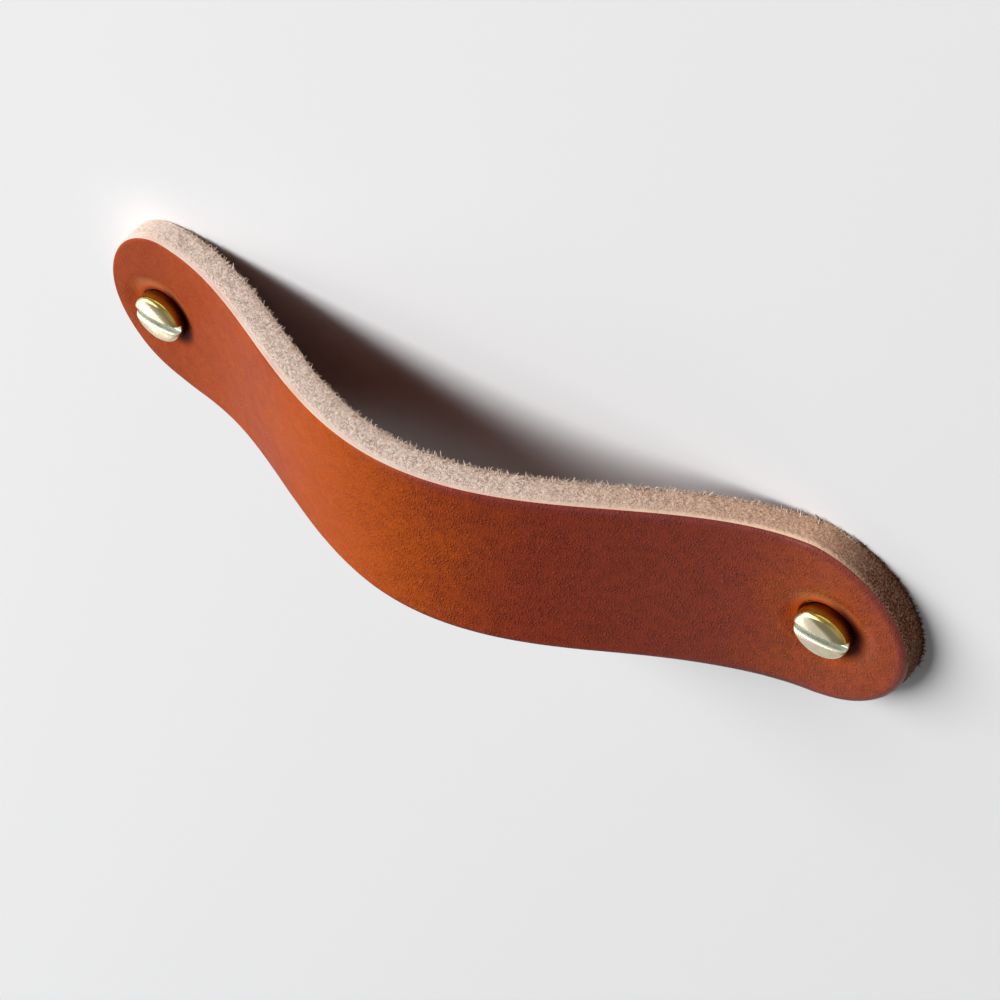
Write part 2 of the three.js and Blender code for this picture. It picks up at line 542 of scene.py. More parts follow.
@dataclass(frozen=True)
class FleshFinish:
    """The inner side: undyed, brushed and slightly hairy."""

    fawn: Colour = (0.20, 0.026, 0.006)
    umber: Colour = (0.10, 0.014, 0.004)
    straw: Colour = (0.27, 0.10, 0.045)
    nap_height: float = 0.1 * MM

    def build(self) -> bpy.types.Material:
        """Makes the material.

        Returns:
            The flesh side's material.
        """
        material, graph = new_material("flesh_side")
        place = leather_place(graph)
        combed = graph.signal("ShaderNodeMapping", None, {"Vector": place, "Scale": (0.45, 1.3, 1.0)})
        nap = graph.cloud(combed, 4.0, 5.0)
        broad = graph.cloud(place, 0.16, 4.0).rise(0.3, 0.7)
        brushed = graph.blend(broad, self.fawn, self.umber)
        brushed = graph.blend(nap.rise(0.45, 0.7) * 0.7, brushed, self.straw)
        brushed = graph.blend(graph.cloud(place, 6.5, 3.0).rise(0.52, 0.7) * 0.5, brushed, self.umber)
        bump = {"Height": nap, "Distance": self.nap_height, "Strength": 1.0}
        values = {
            "Base Color": brushed,
            "Roughness": 0.95,
            "Specular IOR Level": 0.03,
            "Normal": graph.signal("ShaderNodeBump", None, bump),
        }
        finish_surface(graph, values)
        return material


@dataclass(frozen=True)
class FibreFinish:
    """Loose strands of bare leather."""

    name: str
    pale: Colour = (0.80, 0.66, 0.56)
    dark: Colour = (0.62, 0.45, 0.34)

    def build(self) -> bpy.types.Material:
        """Makes the material.

        Returns:
            The strands' material.
        """
        material, graph = new_material(self.name)
        place = graph.signal("ShaderNodeTexCoord", None, None, "Object")
        shade = graph.cloud(place * MM_PER_METRE, 2.2, 3.0).rise(0.4, 0.65)
        values = {
            "Base Color": graph.blend(shade, self.pale, self.dark),
            "Roughness": 0.85,
            "Specular IOR Level": 0.06,
        }
        finish_surface(graph, values)
        return material


@dataclass(frozen=True)
class BrassFinish:
    """Brass, turned or stamped, with a trace of tarnish and fine marks round its axis, and on the screw heads
    painted reflection and shade on the wall, its foot and the shaded shoulder.
    """

    name: str
    axis_places: tuple[float, float]
    metal: Colour = (0.90, 0.80, 0.58)
    tarnish: Colour = (0.62, 0.42, 0.18)
    roughness: float = 0.2
    marks_per_mm: float = 9.0
    mark_height: float = 0.0025 * MM
    # Painted reflection and shade on the screw heads: the wall's darker golden brown, the foot's near black
    # and the shaded shoulder's dark olive.
    wall: Colour = (0.50, 0.36, 0.04)
    foot: Colour = (0.16, 0.05, 0.01)
    shoulder_shade: Colour = (0.20, 0.15, 0.06)

    def build(self) -> bpy.types.Material:
        """Makes the material.

        Returns:
            The brass material.
        """
        material, graph = new_material(self.name)
        place = graph.signal("ShaderNodeTexCoord", None, None, "Object")
        along, depth, up = parts_of(graph, place)
        left, right = self.axis_places
        side = along.rise(-0.1 * MM, 0.1 * MM)
        from_axis = along - (left + side * (right - left))
        radius = (from_axis * from_axis + up * up) ** 0.5
        rings = (radius * (self.marks_per_mm * MM_PER_METRE * FULL_TURN)).apply("SINE")
        stains = graph.cloud(place * MM_PER_METRE, 0.8, 5.0).rise(0.42, 0.68)
        smears = graph.cloud(place * MM_PER_METRE, 2.6, 4.0)
        metal = graph.blend(stains * 0.35, self.metal, self.tarnish)
        outside = depth.rise(-3.3 * MM, -3.4 * MM)
        # The side of each head away from the key light, where shade is painted.
        shaded = (from_axis + up).rise(1.0 * MM, 3.0 * MM)
        below = depth + shaded * (0.3 * MM)
        # Painted reflection and shade above the leather: the wall darker golden brown, near black at its foot
        # for contact shade, and the shoulder darker on the shaded side.
        metal = graph.blend(below.rise(-5.5 * MM, -5.1 * MM) * outside * 0.95, metal, self.wall)
        metal = graph.blend(below.rise(-4.7 * MM, -3.8 * MM) * outside * 0.9, metal, self.foot)
        shoulder = below.rise(-5.7 * MM, -5.5 * MM) * below.rise(-4.9 * MM, -5.2 * MM)
        metal = graph.blend(shoulder * shaded * outside * 0.85, metal, self.shoulder_shade)
        metal = graph.blend((1 - outside) * 0.45, metal, self.tarnish)
        height = rings * 0.5 + smears * 0.8
        bump = {"Height": height, "Distance": self.mark_height, "Strength": 1.0}
        values = {
            "Base Color": metal,
            "Metallic": 1.0,
            "Roughness": self.roughness + stains * 0.1 + (smears - 0.5) * 0.06,
            "Normal": graph.signal("ShaderNodeBump", None, bump),
        }
        finish_surface(graph, values)
        return material


@dataclass(frozen=True)
class PaleBackdrop:
    """A plain pale surface that is not seen from behind."""

    colour: Colour = (0.83, 0.83, 0.84)

    def build(self) -> bpy.types.Material:
        """Makes the material.

        Returns:
            The backdrop's material.
        """
        material, graph = new_material("pale_backdrop")
        values = {"Base Color": self.colour, "Roughness": 0.8, "Specular IOR Level": 0.0}
        shader = graph.signal("ShaderNodeBsdfPrincipled", None, values)
        behind = graph.signal("ShaderNodeNewGeometry", None, None, "Backfacing")
        seen = graph.signal("ShaderNodeLightPath", None, None, "Is Camera Ray")
        clear = graph.signal("ShaderNodeBsdfTransparent")
        mixed = graph.signal("ShaderNodeMixShader", None, {0: behind * seen, 1: shader, 2: clear})
        graph.add("ShaderNodeOutputMaterial", None, {"Surface": mixed})
        return material


def mesh_object(name: str, points: np.ndarray, faces: list[tuple[int, ...]]) -> bpy.types.Object:
    """Makes an object from points and faces.

    Args:
        name: The object's name.
        points: One row of three numbers for each point.
        faces: The point numbers of each face.

    Returns:
        The object, linked to the scene.
    """
    mesh = bpy.data.meshes.new(name)
    mesh.from_pydata(points.tolist(), [], faces)
    mesh.update()
    made = bpy.data.objects.new(name, mesh)
    bpy.context.scene.collection.objects.link(made)
    return made


def loft_faces(rows: int, columns: int, round_rows: bool, round_columns: bool) -> list[tuple[int, ...]]:
    """Numbers the faces of a grid of points, row by row.

    Args:
        rows: How many rows the grid has.
        columns: How many points a row has.
        round_rows: Whether the last row joins the first.
        round_columns: Whether the last point of a row joins its first.

    Returns:
        The faces, each with four point numbers.
    """
    faces = []
    for i in range(rows if round_rows else rows - 1):
        below = ((i + 1) % rows) * columns
        for j in range(columns if round_columns else columns - 1):
            after = (j + 1) % columns
            faces.append((i * columns + j, i * columns + after, below + after, below + j))
    return faces


def tidy(made: bpy.types.Object, merge: float, sharp_degrees: float | None = None) -> None:
    """Merges an object's doubles and turns its faces outwards.

    Args:
        made: The object.
        merge: Points nearer than this become one.
        sharp_degrees: Edges above this angle stay sharp. None makes all edges smooth.
    """
    work = bmesh.new()
    work.from_mesh(made.data)
    bmesh.ops.remove_doubles(work, verts=work.verts, dist=merge)
    bmesh.ops.dissolve_degenerate(work, edges=work.edges, dist=merge * 0.1)
    bmesh.ops.recalc_face_normals(work, faces=work.faces)
    work.to_mesh(made.data)
    work.free()
    made.data.shade_smooth()
    if sharp_degrees is not None:
        made.data.set_sharp_from_angle(angle=math.radians(sharp_degrees))


def settled(made: bpy.types.Object) -> None:
    """Applies an object's modifiers to its mesh.

    Args:
        made: The object.
    """
    evaluated = made.evaluated_get(bpy.context.evaluated_depsgraph_get())
    old = made.data
    made.data = bpy.data.meshes.new_from_object(evaluated)
    made.modifiers.clear()
    bpy.data.meshes.remove(old)


def cut(made: bpy.types.Object, cutter: bpy.types.Object) -> None:
    """Cuts one closed object out of another and deletes the cutter.

    Args:
        made: The object that is cut.
        cutter: What is taken away.
    """
    modifier = made.modifiers.new("cut", "BOOLEAN")
    modifier.operation = "DIFFERENCE"
    modifier.solver = "EXACT"
    modifier.object = cutter
    settled(made)
    bpy.data.objects.remove(cutter)


def turned(name: str, profile: list[tuple[float, float]], sides: int) -> bpy.types.Object:
    """Turns a profile about the Z axis.

    Args:
        name: The object's name.
        profile: Radius and height of each point. A radius of 0 closes the shape on the axis.
        sides: How many steps a full turn has.

    Returns:
        The turned object.
    """
    radius, height = np.array(profile).T
    angle = np.arange(sides) * FULL_TURN / sides
    x = np.outer(np.cos(angle), radius)
    y = np.outer(np.sin(angle), radius)
    z = np.broadcast_to(height, x.shape)
    points = np.stack([x, y, z], axis=-1).reshape(-1, 3)
    return mesh_object(name, points, loft_faces(sides, len(profile), True, False))


def arc(centre: tuple[float, float], radius: float, start: float, end: float, steps: int) -> list:
    """Gives the points of an arc.

    Args:
        centre: The arc's centre.
        radius: Its radius.
        start: Its first angle in degrees.
        end: Its last angle in degrees.
        steps: How many steps it has.

    Returns:
        The points, from the first angle to the last.
    """
    angles = np.radians(np.linspace(start, end, steps + 1))
    return [(centre[0] + radius * math.cos(a), centre[1] + radius * math.sin(a)) for a in angles]


def new_geometry_tree(
    name: str, inputs: dict[str, str]
) -> tuple[bpy.types.NodeTree, Graph, dict[str, Signal]]:
    """Makes a geometry tree with named inputs.

    Args:
        name: The tree's name.
        inputs: The socket type of each input after the geometry.

    Returns:
        The tree, its graph and the input signals by name.
    """
    tree = bpy.data.node_groups.new(name, "GeometryNodeTree")
    tree.interface.new_socket("Geometry", in_out="INPUT", socket_type="NodeSocketGeometry")
    for label, kind in inputs.items():
        tree.interface.new_socket(label, in_out="INPUT", socket_type=kind)
    tree.interface.new_socket("Geometry", in_out="OUTPUT", socket_type="NodeSocketGeometry")
    graph = Graph(tree)
    entry = graph.add("NodeGroupInput")
    signals = {label: Signal(graph, entry.outputs[label]) for label in ("Geometry", *inputs)}
    return tree, graph, signals


def finish_tree(graph: Graph, shape: Signal, material: Signal) -> None:
    """Ends a geometry tree in real geometry with its material.

    Args:
        graph: The tree's graph.
        shape: What the tree made.
        material: The material to set.
    """
    real = graph.signal("GeometryNodeRealizeInstances", None, {0: shape})
    smooth = graph.signal("GeometryNodeSetShadeSmooth", None, {0: real})
    dressed = graph.signal("GeometryNodeSetMaterial", None, {"Geometry": smooth, "Material": material})
    graph.add("NodeGroupOutput", None, {0: dressed})


def run_tree(host: bpy.types.Object, tree: bpy.types.NodeTree, values: dict[str, Any]) -> None:
    """Replaces an object's mesh with what a geometry tree makes of it.

    Args:
        host: The object.
        tree: The geometry tree.
        values: The tree's inputs by name.
    """
    modifier = host.modifiers.new("grow", "NODES")
    modifier.node_group = tree
    for item in tree.interface.items_tree:
        if item.in_out == "INPUT" and item.name in values:
            modifier[item.identifier] = values[item.name]
    settled(host)


def place_piece(made: bpy.types.Object, slot: str, *nodes: str) -> None:
    """Rides a finished piece on the part and logs it.

    Args:
        made: The piece, with its place in its mesh.
        slot: Not used.
        nodes: The solids that it stands for.
    """
    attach(made, BODY)
    if nodes:
        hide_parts(*nodes)
    faces = sum(len(face.vertices) - 2 for face in made.data.polygons)
    log.info("%s: %d triangles", made.name, faces)


@dataclass(frozen=True)
class Bow:
    """The curve that the strap takes between its screws, and the way to and from it."""

    spacing: float
    crown: float
    height: float

    def _phase(self, x: np.ndarray) -> tuple[np.ndarray, np.ndarray]:
        """Gives how far a place is from the crown, from 0 to 1 at a screw, and the way's length."""
        half = np.where(x < self.crown, self.spacing / 2 + self.crown, self.spacing / 2 - self.crown)
        return np.clip((x - self.crown) / half, -1.0, 1.0), half

    def lift(self, x: np.ndarray) -> np.ndarray:
        """Gives the height of the strap's inner side above the mounting face."""
        phase, _ = self._phase(x)
        return self.height / 2 * (1 + np.cos(np.pi * phase))

    def slope(self, x: np.ndarray) -> np.ndarray:
        """Gives how steeply the inner side rises along the strap."""
        phase, half = self._phase(x)
        return -self.height / 2 * np.pi / half * np.sin(np.pi * phase)

    def bend(self, x: np.ndarray, z: np.ndarray, depth: np.ndarray) -> np.ndarray:
        """Carries places in the flat strap to the bowed one.

        Args:
            x: Place along the strap, measured along the mounting face.
            z: Place across it.
            depth: Height above its inner side.

        Returns:
            One row of three numbers for each place.
        """
        slope = self.slope(x)
        size = np.hypot(1.0, slope)
        return np.stack([x - depth * slope / size, -self.lift(x) - depth / size, z], axis=-1)

    def unbend(self, points: np.ndarray) -> np.ndarray:
        """Finds where points of the bowed strap were in the flat one.

        Args:
            points: One row of three numbers for each point.

        Returns:
            Along the developed strap, across it, and height above its inner side.
        """
        x = points[:, 0].copy()
        for _ in range(14):
            slope = self.slope(x)
            off = (points[:, 0] - x) - (points[:, 1] + self.lift(x)) * slope
            x += off / (1 + slope**2)
        slope = self.slope(x)
        size = np.hypot(1.0, slope)
        depth = ((points[:, 0] - x) * -slope - (points[:, 1] + self.lift(x))) / size
        table = np.linspace(-self.spacing, self.spacing, 4001)
        steps = np.hypot(1.0, self.slope((table[1:] + table[:-1]) / 2)) * np.diff(table)
        travelled = np.concatenate([[0.0], np.cumsum(steps)])
        travelled -= np.interp(0.0, table, travelled)
        return np.stack([np.interp(x, table, travelled), points[:, 2], depth], axis=-1)


def speckle(points: np.ndarray, per_metre: float, octaves: int) -> np.ndarray:
    """Gives noise from about -1 to 1 at some points.

    Args:
        points: One row of three numbers for each point.
        per_metre: How many patches fit in a metre.
        octaves: How many layers it has.

    Returns:
        One number for each point.
    """
    places = points * per_metre
    return np.array([noise.fractal(Vector(p), 1.0, 2.0, octaves) for p in places])


@dataclass
class Strap:
    """The leather strap, with its dyed side, its cut edge and its flesh side."""

    bow: Bow
    left_tip: float
    right_tip: float
    width: float
    thickness: float = 4.0 * MM
    left_grain_edge: float = 0.45 * MM
    right_grain_edge: float = 0.95 * MM
    flesh_edge: float = 0.22 * MM
    belly: float = 0.10 * MM
    head_radius: float = 3.5 * MM
    dimple_depth: float = 0.4 * MM
    dimple_reach: float = 3.9 * MM
    seat_radius: float = 3.54 * MM
    seat_lip: float = 0.17 * MM
    hole_radius: float = 2.3 * MM
    seat_depth: float = 0.6 * MM
    low_cut_mm: tuple[tuple[float, float], ...] = (
        (-50, 0.8), (-42, 0.15), (-32, 0.75), (-18, 0.75), (-4, 0.0),
        (26, 0.0), (36, -0.55), (48, -0.5), (58, 0.0),
    )
    left_lean: float = 0.7 * MM
    left_trim: float = 0.6 * MM
    rounder_from: float = -14.0 * MM
    rounder_over: float = 36.0 * MM
    crumb: float = 0.08 * MM
    clump: float = 0.06 * MM
    unevenness: float = 0.03 * MM
    cap_stations: int = 60
    straight_stations: int = 620
    wall_rows: int = 22
    roll_rows: int = 6
    outer_columns: int = 48
    inner_columns: int = 16

    PLACE_NAME = "leather_place"
    SCREW_NAME = "from_screw"
    EDGE_NAME = "from_edge"

    def _section(self, r: float) -> dict[str, np.ndarray]:
        """Gives the closed loop of the section: a side, the outer face, a side, the inner face.

        Args:
            r: How round the grain edge is.

        Returns:
            The inset, depth, place across and zone of each step.
        """
        t, f = self.thickness, self.flesh_edge
        turns = np.linspace(0, math.pi / 2, 4)
        wall = [(f * (1 - math.sin(a)), f * (1 - math.cos(a)), Zone.CUT) for a in turns]
        rows = np.linspace(0, 1, self.wall_rows + 1)[1:]
        wall += [(-self.belly * math.sin(math.pi * s), f + s * (t - r - f), Zone.CUT) for s in rows]
        for a in np.linspace(0, math.pi / 2, self.roll_rows + 1)[1:]:
            zone = Zone.GRAIN if a > 0.5 else Zone.CUT
            wall.append((r * (1 - math.cos(a)), t - r * (1 - math.sin(a)), zone))
        outer = np.linspace(1, -1, self.outer_columns + 1)[1:-1]
        inner = np.linspace(-1, 1, self.inner_columns + 1)[1:-1]
        steps = [(inset, depth, 1.0, zone) for inset, depth, zone in wall]
        steps += [(r, t, across, Zone.GRAIN) for across in outer]
        steps += [(inset, depth, -1.0, zone) for inset, depth, zone in reversed(wall)]
        steps += [(f, 0.0, across, Zone.FLESH) for across in inner]
        return {
            "inset": np.array([s[0] for s in steps]),
            "depth": np.array([s[1] for s in steps]),
            "across": np.array([s[2] for s in steps]),
            "zone": np.array([s[3].value for s in steps]),
        }

    def _stations(self) -> tuple[np.ndarray, np.ndarray, np.ndarray]:
        """Lays out the sections from tip to tip.

        Returns:
            The centre of each, and its reach along the strap and across it.
        """
        radius = self.width / 2
        first, last = self.left_tip + radius, self.right_tip - radius
        turn = np.linspace(0, math.pi / 2, self.cap_stations, endpoint=False)
        straight = np.linspace(first, last, self.straight_stations, endpoint=False)
        back = np.linspace(math.pi / 2, 0, self.cap_stations + 1)
        centre = np.concatenate([np.full(len(turn), first), straight, np.full(len(back), last)])
        along = np.concatenate([-np.cos(turn), np.zeros(len(straight)), np.cos(back)])
        across = np.concatenate([np.sin(turn), np.ones(len(straight)), np.sin(back)])
        return centre, along, across

    def _hand_cut(self, x: np.ndarray, z: np.ndarray) -> tuple[np.ndarray, np.ndarray]:
        """Gives places as the knife left them, uneven along the lower edge and at the left end.

        Args:
            x: Place along the strap.
            z: Place across it.

        Returns:
            Both, moved.
        """
        low = (1 - z / (self.width / 2)) / 2
        places, offsets = np.array(self.low_cut_mm).T * MM
        nearby = np.linspace(-5, 5, 11) * MM
        wave = np.mean([np.interp(x + step, places, offsets) for step in nearby], axis=0)
        leaning, shortened = (np.clip((start * MM - x) / (7 * MM), 0, 1) for start in (-43, -50))
        leaning, shortened = (share**2 * (3 - 2 * share) for share in (leaning, shortened))
        return x + self.left_trim * shortened, z + wave * low + self.left_lean * leaning * (1 - low)

    def _pressed(self, x: np.ndarray, z: np.ndarray) -> np.ndarray:
        """Gives how far the outer side is pressed down round the screw heads.

        Args:
            x: Place along the strap.
            z: Place across it.

        Returns:
            How far it lies below the rest of the outer side.
        """
        nearest = np.where(x < 0, -self.bow.spacing / 2, self.bow.spacing / 2)
        away = (np.hypot(x - nearest, z) - self.head_radius) / self.dimple_reach
        share = np.clip(away, 0, 1)
        eased = share**3 * (share * (share * 6 - 15) + 10)
        return self.dimple_depth * (1 - eased)

    def _blank(self) -> bpy.types.Object:
        """Makes the bowed strap without its holes.

        Returns:
            The strap, with its three finishes.
        """
        section, blunt = self._section(self.left_grain_edge), self._section(self.right_grain_edge)
        centre, along, across = self._stations()
        radius = self.width / 2
        shape = (len(centre), len(section["inset"]))
        worn = np.clip((centre - self.rounder_from) / self.rounder_over, 0, 1)[:, None]
        inset, depth = ((1 - worn) * section[name] + worn * blunt[name] for name in ("inset", "depth"))
        reach = radius - inset
        x = centre[:, None] + along[:, None] * reach
        z = across[:, None] * reach * section["across"]
        flat = np.stack([x, z, depth], axis=-1).reshape(-1, 3)
        zone = np.broadcast_to(section["zone"], shape)
        side = np.abs(section["across"]) == 1.0
        fibrous = np.clip((0.78 * self.thickness - depth) / (0.12 * self.thickness), 0, 1) * side
        grains = speckle(flat, 1500.0, 2).reshape(shape)
        clumps = speckle(flat + 1.0, 700.0, 2).reshape(shape)
        swell = speckle(flat + 2.0, 140.0, 2).reshape(shape)
        reach = reach + fibrous * (self.crumb * grains + self.clump * clumps)
        x = centre[:, None] + along[:, None] * reach
        x, z = self._hand_cut(x, across[:, None] * reach * section["across"])
        outer = np.clip((depth - self.thickness) / (0.3 * MM) + 1, 0, 1)
        depth = depth - outer * (self._pressed(x, z) + self.unevenness * (1 + swell))
        inner = (zone == Zone.FLESH.value) | (depth < self.flesh_edge)
        depth = depth + inner * self.unevenness * (1 + grains)
        points = self.bow.bend(x.ravel(), z.ravel(), depth.ravel())
        faces = loft_faces(shape[0], shape[1], False, True)
        made = mesh_object("strap_hide", points, faces)
        for finish in (GrainFinish(), CutFinish(), FleshFinish()):
            made.data.materials.append(finish.build())
        face_zone = np.tile(section["zone"], shape[0] - 1)
        made.data.polygons.foreach_set("material_index", face_zone.astype(np.int32))
        tidy(made, 0.002 * MM)
        return made

    def _recess(self, side: Side, materials: list[bpy.types.Material]) -> bpy.types.Object:
        """Makes what a screw takes out of the strap, which leaves bare leather.

        Args:
            side: The end that the screw is at.
            materials: The strap's materials.

        Returns:
            The cutter.
        """
        far = 3 * self.thickness
        seat = self.thickness - self.seat_depth
        lip = self.seat_lip
        surface = self.thickness - self.dimple_depth
        profile = [(0.0, -far), (self.hole_radius, -far), (self.hole_radius, seat), (self.seat_radius, seat)]
        profile += arc((self.seat_radius + lip, surface - lip), lip, 180, 98, 6)
        profile += [(self.seat_radius + lip, surface + 0.01 * MM), (self.seat_radius + lip, far), (0.0, far)]
        made = turned("recess", profile, 128)
        made.data.transform(Matrix.Rotation(math.pi / 2, 4, "X"))
        made.data.transform(Matrix.Translation((side.value * self.bow.spacing / 2, 0, 0)))
        for material in materials:
            made.data.materials.append(material)
        outer = [face.center.y < -seat - 0.05 * MM for face in made.data.polygons]
        zones = [Zone.GRAIN.value if grain else Zone.CUT.value for grain in outer]
        made.data.polygons.foreach_set("material_index", zones)
        tidy(made, 0.002 * MM)
        return made

    def _mark_places(self, made: bpy.types.Object) -> None:
        """Stores where each point was in the flat strap, in millimetres, for the materials.

        Args:
            made: The strap.
        """
        points = np.empty(len(made.data.vertices) * 3, np.float32)
        made.data.vertices.foreach_get("co", points)
        flat = self.bow.unbend(points.reshape(-1, 3).astype(float)) / MM
        layer = made.data.attributes.new(self.PLACE_NAME, "FLOAT_VECTOR", "POINT")
        layer.data.foreach_set("vector", flat.astype(np.float32).ravel())
        along = points.reshape(-1, 3)[:, 0] / MM
        screw = np.where(along < 0, -1, 1) * self.bow.spacing / 2 / MM
        half = self.width / 2 / MM
        spine = np.clip(along, self.left_tip / MM + half, self.right_tip / MM - half)
        for name, centre, reach in ((self.SCREW_NAME, screw, 0.0), (self.EDGE_NAME, spine, half)):
            layer = made.data.attributes.new(name, "FLOAT", "POINT")
            away = np.abs(reach - np.hypot(along - centre, flat[:, 1]))
            layer.data.foreach_set("value", away.astype(np.float32))

    def build(self) -> bpy.types.Object:
        """Makes the strap with its holes and finishes.

        Returns:
            The strap.
        """
        made = self._blank()
        for side in Side:
            cut(made, self._recess(side, made.data.materials))
        made.data.shade_smooth()
        self._mark_places(made)
        return made


@dataclass
class LooseFibres:
    """Strands that stand out of the bare leather, grown by geometry nodes."""

    name: str
    finish: FibreFinish
    per_square_mm: float
    shortest: float
    longest: float
    lean: float
    slenderness: float
    seed: int

    ROOT = (0, 0, -0.15)
    BENDS = (
        ((0.05, 0, 0.5), (0.4, 0, 0.9)),
        ((0.3, 0.1, 0.5), (0.2, 0.5, 0.8)),
        ((-0.2, 0, 0.6), (0.3, -0.2, 0.7)),
    )

    def _tree(self) -> bpy.types.NodeTree:
        """Makes the tree that scatters bent, tapering strands over an object's faces.

        Returns:
            The tree.
        """
        inputs = {
            "Density": "NodeSocketFloat",
            "Shortest": "NodeSocketFloat",
            "Longest": "NodeSocketFloat",
            "Lean": "NodeSocketFloat",
            "Slenderness": "NodeSocketFloat",
            "Seed": "NodeSocketInt",
            "Material": "NodeSocketMaterial",
        }
        tree, graph, given = new_geometry_tree(self.name, inputs)
        values = {"Mesh": given["Geometry"], "Density": given["Density"], "Seed": given["Seed"]}
        roots = graph.add("GeometryNodeDistributePointsOnFaces", None, values)
        kinds = []
        for middle, end in self.BENDS:
            values = {"Resolution": 3, "Start": self.ROOT, "Middle": middle, "End": end}
            kinds.append(graph.signal("GeometryNodeCurveQuadraticBezier", None, values))
        strands = []
        for kind in kinds:
            step = graph.signal("GeometryNodeSplineParameter", None, None, "Factor")
            ring = graph.signal("GeometryNodeCurvePrimitiveCircle", None, {"Resolution": 3, "Radius": 1.0})
            values = {"Curve": kind, "Profile Curve": ring, "Fill Caps": True}
            values["Scale"] = (1 - 0.8 * step) * given["Slenderness"]
            strands.append(graph.signal("GeometryNodeCurveToMesh", None, values))
        bundle = graph.add("GeometryNodeGeometryToInstance")
        for strand in strands:
            graph.tree.links.new(strand.socket, bundle.inputs[0])
        choice = graph.signal("FunctionNodeRandomValue", {"data_type": "INT"}, {4: 0, 5: 2, "Seed": 3}, 2)
        lengths = {2: given["Shortest"], 3: given["Longest"], "Seed": 5}
        length = graph.signal("FunctionNodeRandomValue", {"data_type": "FLOAT"}, lengths, 1)
        values = {
            "Points": Signal(graph, roots.outputs["Points"]),
            "Instance": Signal(graph, bundle.outputs[0]),
            "Pick Instance": True,
            "Instance Index": choice,
            "Rotation": Signal(graph, roots.outputs["Rotation"]),
            "Scale": length,
        }
        planted = graph.signal("GeometryNodeInstanceOnPoints", None, values)
        lean = given["Lean"]
        low = graph.signal("ShaderNodeCombineXYZ", None, {0: 0 - lean, 1: 0 - lean, 2: 0.0})
        high = graph.signal("ShaderNodeCombineXYZ", None, {0: lean, 1: lean, 2: FULL_TURN})
        spread = {0: low, 1: high, "Seed": 7}
        turn = graph.signal("FunctionNodeRandomValue", {"data_type": "FLOAT_VECTOR"}, spread, 0)
        leaning = graph.signal("GeometryNodeRotateInstances", None, {"Instances": planted, "Rotation": turn})
        finish_tree(graph, leaning, given["Material"])
        return tree

    def build(self, ground: bpy.types.Object) -> bpy.types.Object:
        """Grows the strands.

        Args:
            ground: The faces that they grow from, which the strands then replace.

        Returns:
            The strands.
        """
        ground.name = self.name
        values = {
            "Density": self.per_square_mm / MM**2,
            "Shortest": self.shortest,
            "Longest": self.longest,
            "Lean": self.lean,
            "Slenderness": self.slenderness,
            "Seed": self.seed,
            "Material": self.finish.build(),
        }
        run_tree(ground, self._tree(), values)
        return ground


def faces_where(source: bpy.types.Object, keep: np.ndarray) -> bpy.types.Object:
    """Copies some faces of an object.

    Args:
        source: The object.
        keep: One true or false for each face.

    Returns:
        A new object with the faces that are kept.
    """
    work = bmesh.new()
    work.from_mesh(source.data)
    work.faces.ensure_lookup_table()
    dropped = [face for face, kept in zip(work.faces, keep) if not kept]
    bmesh.ops.delete(work, geom=dropped, context="FACES")
    mesh = bpy.data.meshes.new("ground")
    work.to_mesh(mesh)
    work.free()
    made = bpy.data.objects.new("ground", mesh)
    bpy.context.scene.collection.objects.link(made)
    return made


